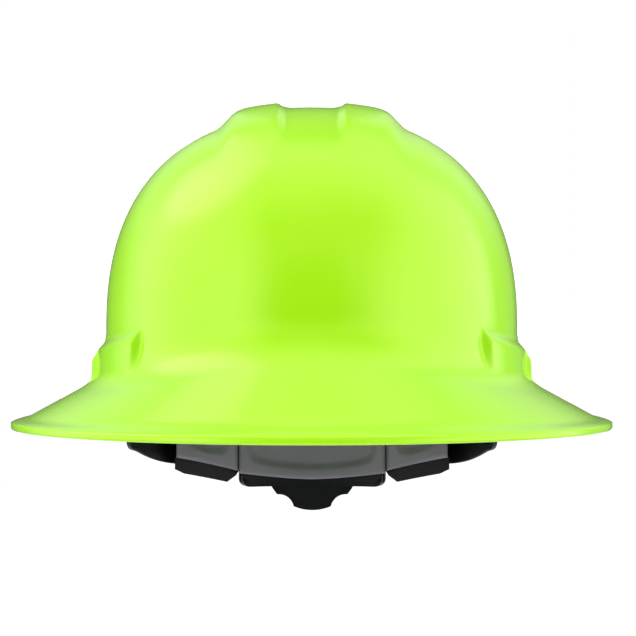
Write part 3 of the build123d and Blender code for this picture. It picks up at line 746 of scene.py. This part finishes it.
def inflate(piece, sewn, pressure, most):
    """Blows a cover up in a short cloth simulation. Sewn points stay, and none moves beyond most."""
    before = np.array([vertex.co for vertex in piece.data.vertices])
    piece.vertex_groups.new(name="sewn").add(sewn, 1, "REPLACE")
    cloth = piece.modifiers.new("cloth", "CLOTH")
    cloth.settings.vertex_group_mass = "sewn"
    cloth.settings.use_pressure = True
    cloth.settings.uniform_pressure_force = pressure
    cloth.settings.effector_weights.gravity = 0
    for frame in range(1, cloth_frames + 1):
        bpy.context.scene.frame_set(frame)
    bake_modifiers(piece)
    bpy.context.scene.frame_set(1)
    move = np.array([vertex.co for vertex in piece.data.vertices]) - before
    length = np.linalg.norm(move, axis=1, keepdims=True)
    move *= np.minimum(1, most / np.maximum(length, 1e-9))
    piece.data.vertices.foreach_set("co", (before + move).ravel())


rows, sewn = brow_cover()
brow_pad = grid_piece("quilted_brow_pad", rows)
inflate(brow_pad, sewn, brow_pressure, brow_swell)
brow_pad.modifiers.new("smooth", "SUBSURF").levels = 1
bake_modifiers(brow_pad)
knit_dark = (0.004, 0.004, 0.005)
knit_light = (0.018, 0.018, 0.020)
knit, shader, place = new_finish(
    "black_knit_over_foam", 0.85, {"Sheen Weight": 0.4, "Specular IOR Level": 0.25}
)
loops = place.add("ShaderNodeTexVoronoi", {"Vector": place, "Scale": 900.0})
feed(shader, "Base Color", loops.between(knit_light, knit_dark))
grain(shader, 1 - loops, 0.0004, 0.7)
wear(brow_pad, knit)
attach(brow_pad, "hat")
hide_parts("brow_pad")


# Nape arms: flexible black straps of polyethylene, riveted to the sides of the headband, that run down
# and back to the toothed strips.
nape_axis_y = 0.017
arm_thickness = 0.0017
arm_edge_round = 0.0006
arm_end_height = 0.026
arm_end_level = 0.039
arm_end_gap = 0.0008
arm_reach = 0.090
arm_sections = 120
outer_strip_middle = 0.09385
inner_strip_middle = 0.09205
strip_half_length = 0.037318


def headband_side(along):
    """Half width of the headband's outer face at a place along the head."""
    return headband_half_width * sqrt(1 - (along / headband_half_length) ** 2)


def nape_arm(name, middle, side):
    """One arm, from the end of its toothed strip up to the headband."""
    places, outs, heights = [], [], []
    turns = (
        (strip_half_length / middle, -0.0225, 0.0150),
        (radians(26.5), -0.0205, 0.0130),
        (radians(35.5), -0.0185, 0.0130),
        (radians(52.7), -0.0166, 0.0130),
    )
    for angle, level, height in turns:
        out = (sin(angle), cos(angle), 0)
        places.append((middle * out[0], nape_axis_y + middle * out[1], level))
        outs.append(out)
        heights.append(height)
    places += [(0.087, 0.048, -0.0086), (arm_reach, 0.024, -0.0012)]
    outs += [(1, 0.3, 0), (1, 0, 0)]
    heights += [0.0150, 0.0195]
    for along, level in ((0.008, 0.022), (-0.014, arm_end_level)):
        lift = (arm_end_level - level) / arm_end_level * (arm_reach - headband_half_width)
        places.append((headband_side(along) + arm_end_gap + arm_thickness / 2 + lift, along, level))
        outs.append((1, 0, 0))
        heights.append(arm_end_height)
    steps = np.linalg.norm(np.diff(places, axis=0), axis=1)
    marks = np.concatenate([[0], np.cumsum(steps)])
    first, last = np.subtract(places[1], places[0]), np.subtract(places[-1], places[-2])
    line = smooth_line(places, first, last, arm_sections)
    ways = np.linspace(0, marks[-1], arm_sections)
    out = np.stack([np.interp(ways, marks, np.array(outs)[:, axis]) for axis in range(3)], -1)
    out /= np.linalg.norm(out, axis=1, keepdims=True)
    height = np.interp(ways, marks, heights)
    up = np.tile((0.0, 0.0, 1.0), (arm_sections, 1))
    sections = [flat_section(value, arm_thickness, arm_edge_round) for value in height]
    rows = swept(line, up, out, sections)
    rows[..., 0] *= side
    return grid_piece(name, rows if side < 0 else rows[:, ::-1])


for name, middle, side in (("left", outer_strip_middle, 1), ("right", inner_strip_middle, -1)):
    arm = nape_arm("flexible_arm_" + name, middle, side)
    wear(arm, band_plastic)
    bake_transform(arm)
    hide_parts("nape_arm_" + name)
wear(nodes["arm_rivets"], nylon)


# Nape band: the black carrier of the nape pads, thinned by a notch on both sides of its centre part.
wear(nodes["nape_band"], nylon)


# Nape pads: three grey moulded pads, soft and satin, each with a raised border round a sunken panel
# that is slightly cushioned.
pad_inner_radius = 0.082
pad_thickness = 0.0045
pad_top = 0.0056
pad_round = 0.0022
panel_side = 0.0046
panel_bottom = 0.0058
panel_corner = 0.006
panel_depth = 0.0013
panel_slope = 0.0040
pillow_rise = 0.0010
pad_columns = 84
pad_low_ways = (0, 0.006, 0.014, 0.025, 0.04)
pad_middle_ways = np.linspace(0.06, 0.94, 48)
pad_high_ways = (0.96, 0.98, 1)


def pad_cover(start, end, low, high):
    """Rows of a pad between two places across the nape, from its lower to its upper edge."""
    rows = []
    for way_up in np.concatenate([pad_low_ways, pad_middle_ways, pad_high_ways]):
        x = start + (end - start) * (0.5 - 0.5 * np.cos(np.linspace(0, pi, pad_columns)))
        bottom, top = low(x), high(x)
        z = bottom + (top - bottom) * way_up
        sides = np.minimum(x - start, end - x)
        edge = np.minimum(sides, np.minimum(z - bottom, top - z))
        edge = np.clip(edge, 0, pad_round)
        rounded = pad_round - np.sqrt(pad_round**2 - (pad_round - edge) ** 2)
        upright = smaller(z - bottom - panel_bottom, top - z - panel_side, panel_corner)
        inside = smaller(sides - panel_side, upright, panel_corner)
        depth = rounded + panel_depth * step_up(inside, -panel_slope / 2, panel_slope / 2)
        depth = depth - pillow_rise * step_up(inside, panel_slope / 2, 4 * panel_slope)
        front = nape_place(x, z, depth)
        rear = nape_place(x, z, pad_thickness + 0 * x)
        rows.append(np.concatenate([front, rear[::-1]]))
    return np.stack(rows)


def nape_place(x, z, depth):
    """Places on the pads' curve, at a depth behind the face that touches the neck."""
    radius = pad_inner_radius + depth
    return np.stack([x, nape_axis_y + np.sqrt(radius**2 - x**2), z], -1)


def line_between(first, second):
    """Level at each place across, on a straight line between two points."""
    return lambda x: np.interp(x, *zip(*sorted((first, second))))


grey_dark = (0.128, 0.118, 0.146)
grey_light = (0.158, 0.146, 0.178)
soft_grey, shader, place = new_finish("soft_grey_moulding", 0.42, {"Specular IOR Level": 0.45})
feed(shader, "Base Color", place.noise(40.0).between(grey_dark, grey_light))
feed(shader, "Roughness", place.noise(500.0, 3.0) * 0.15 + 0.36)
grain(shader, place.noise(1500.0, 2.0), 0.00006, 0.5)
seam = 0.0380
seam_gap = 0.0001
pad_end = 0.0686
centre_bottom = -0.0334
centre_side_bottom = -0.0296
side_bottom = -0.0284
end_bottom = -0.020
end_top = 0.0006
centre_bow = 1.6
pads = {
    "centre": (
        -seam + seam_gap,
        seam - seam_gap,
        lambda x: centre_bottom + (centre_side_bottom - centre_bottom) * (np.abs(x) / seam) ** centre_bow,
        lambda x: pad_top + 0 * x,
    )
}
for name, side in (("left", 1), ("right", -1)):
    inner_end, outer_end = side * (seam + seam_gap), side * pad_end
    low = line_between((inner_end, side_bottom), (outer_end, end_bottom))
    high = line_between((inner_end, pad_top), (outer_end, end_top))
    pads[name] = (min(inner_end, outer_end), max(inner_end, outer_end), low, high)
for name, (start, end, low, high) in pads.items():
    pad = grid_piece("moulded_pad_" + name, pad_cover(start, end, low, high))
    wear(pad, soft_grey)
    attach(pad, "nape")
    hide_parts("nape_pad_" + name)


# Ratchet: base and cover of black nylon hold two toothed strips, one over and one under the pinion,
# and the spring arms of the pawl click over the ring of detents under the knob.
for name in ("ratchet_base", "ratchet_cover", "drive_pinion", "pawl_spring", "ratchet_knob"):
    wear(nodes[name], nylon)
for name in ("toothed_strip_left", "toothed_strip_right"):
    wear(nodes[name], band_plastic)
steel_dark = (0.40, 0.41, 0.43)
steel_light = (0.56, 0.57, 0.58)
steel, shader, place = new_finish("zinc_plated_steel", 0.3, {"Metallic": 1.0})
feed(shader, "Base Color", place.noise(800.0).between(steel_dark, steel_light))
feed(shader, "Roughness", place.noise(2400.0, 3.0) * 0.2 + 0.22)
for name in ("axle_washer", "axle_screw"):
    wear(nodes[name], steel)


# Studio: a white floor swept up into a backdrop that glows by itself, and a room of light from two
# walls, a card on the right, the ceiling, a window high on the left, the front and behind. The camera
# stands about level with the middle of the hat, 62 mm above the edge of the brim.
floor_level = -0.20
backdrop_distance = 2.8
backdrop_height = 0.8
sweep_radius = 0.3
sweep_steps = 16
floor_half_width = 0.38
floor_front = -1.0
paper_glow = 0.55
floor_glow_share = 0.15
glow_start = 0.01
glow_full = 0.12
window_direction = (-0.60, 0.30, 0.74)
window_light = 0.8
dark_room_light = 0.14
camera_place = (0.0030, -1.3, 0.062)
camera_lens = 153
camera_shift = -0.0357


def studio_sweep():
    """Floor, quarter round and backdrop in one sheet."""
    outline = [(floor_front, floor_level), (backdrop_distance - sweep_radius, floor_level)]
    for step in range(1, sweep_steps + 1):
        turn = pi / 2 * step / sweep_steps
        y = backdrop_distance - sweep_radius + sweep_radius * sin(turn)
        outline.append((y, floor_level + sweep_radius * (1 - cos(turn))))
    outline.append((backdrop_distance, floor_level + backdrop_height))
    rows = np.array([[(side * floor_half_width, y, z) for side in (-1, 1)] for y, z in outline])
    return grid_piece("studio_sweep", rows, closed=False, capped=False)


def seen_directly(tree):
    """1 for rays that show the background: from the camera, in a gloss and through glass."""
    path = tree.nodes.new("ShaderNodeLightPath")
    kinds = ("Camera", "Glossy", "Transmission")
    camera, gloss, glass = (Wire(tree, path.outputs["Is " + kind + " Ray"]) for kind in kinds)
    seen = camera + gloss + glass
    return camera, seen.math("MINIMUM", seen, 1)


def rise(value, start, end):
    """Goes smoothly from 0 at start to 1 at end."""
    return value.add(
        "ShaderNodeMapRange",
        {"Value": value, "From Min": start, "From Max": end},
        interpolation_type="SMOOTHSTEP",
    )


sweep = studio_sweep()
sweep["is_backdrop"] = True
paper, shader, place = new_finish(
    "white_paper", 0.9, {"Base Color": (0.85, 0.85, 0.85, 1), "Specular IOR Level": 0.1}
)
height = place.add("ShaderNodeSeparateXYZ", {0: place}, output=2)
wall_share = rise(height, floor_level + glow_start, floor_level + glow_full)
feed(shader, "Emission Color", wall_share.between((floor_glow_share,) * 3, (1, 1, 1)))
feed(shader, "Emission Strength", seen_directly(place.tree)[1] * paper_glow)
wear(sweep, paper)

world = bpy.data.worlds.new("studio_room")
bpy.context.scene.world = world
world.use_nodes = True
tree = world.node_tree
source = tree.nodes.new("ShaderNodeTexCoord")
toward = Wire(tree, source.outputs["Generated"])
x, y, z = (toward.add("ShaderNodeSeparateXYZ", {0: toward}, output=axis) for axis in range(3))

low_edge = rise(z, -0.5, -0.15)
left_wall = rise(0 - x, 0.3, 0.85) * (1 - rise(y, 0.3, 0.85) * 0.95) * low_edge * 1.62
right_wall = rise(x, 0.45, 1.0) * (1 - rise(y, 0.5, 0.7) * 0.9) * low_edge * 1.8
right_card = rise(x, 0.3, 0.42) * low_edge * 0.16
ceiling = rise(z + y * 0.3, 0.45, 1.02) * (1 - rise(y, 0.25, 0.6) * 0.8) * 1.25
window_middle = Vector(window_direction).normalized()
facing = toward.add(
    "ShaderNodeVectorMath", {0: toward, 1: window_middle}, output=1, operation="DOT_PRODUCT"
)
window = rise(facing, 0.90, 0.97) * window_light
front = rise(0 - y, 0.2, 0.9) * (1 - rise(0 - y, 0.75, 1) * 0.8) * 0.65
behind = rise(y, 0.3, 0.8) * rise(z, 0.05, 0.4) * rise(x * x, 0.002, 0.03) * 0.45
camera_ray = seen_directly(tree)[0]
studio_light = left_wall + right_wall + right_card + ceiling + window + front + behind + dark_room_light
background = tree.nodes["Background"]
background.inputs["Color"].default_value = (1, 1, 1, 1)
strength = studio_light * (1 - camera_ray) + camera_ray
tree.links.new(strength.socket, background.inputs["Strength"])

camera_data = bpy.data.cameras.new("camera")
camera_data.sensor_width = 36
camera_data.lens = camera_lens
camera_data.shift_y = camera_shift
camera = bpy.data.objects.new("camera", camera_data)
bpy.context.scene.collection.objects.link(camera)
camera.location = camera_place
camera.rotation_euler = (pi / 2, 0, 0)
bpy.context.scene.camera = camera

bpy.context.scene.view_settings.view_transform = "Standard"
low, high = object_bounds()
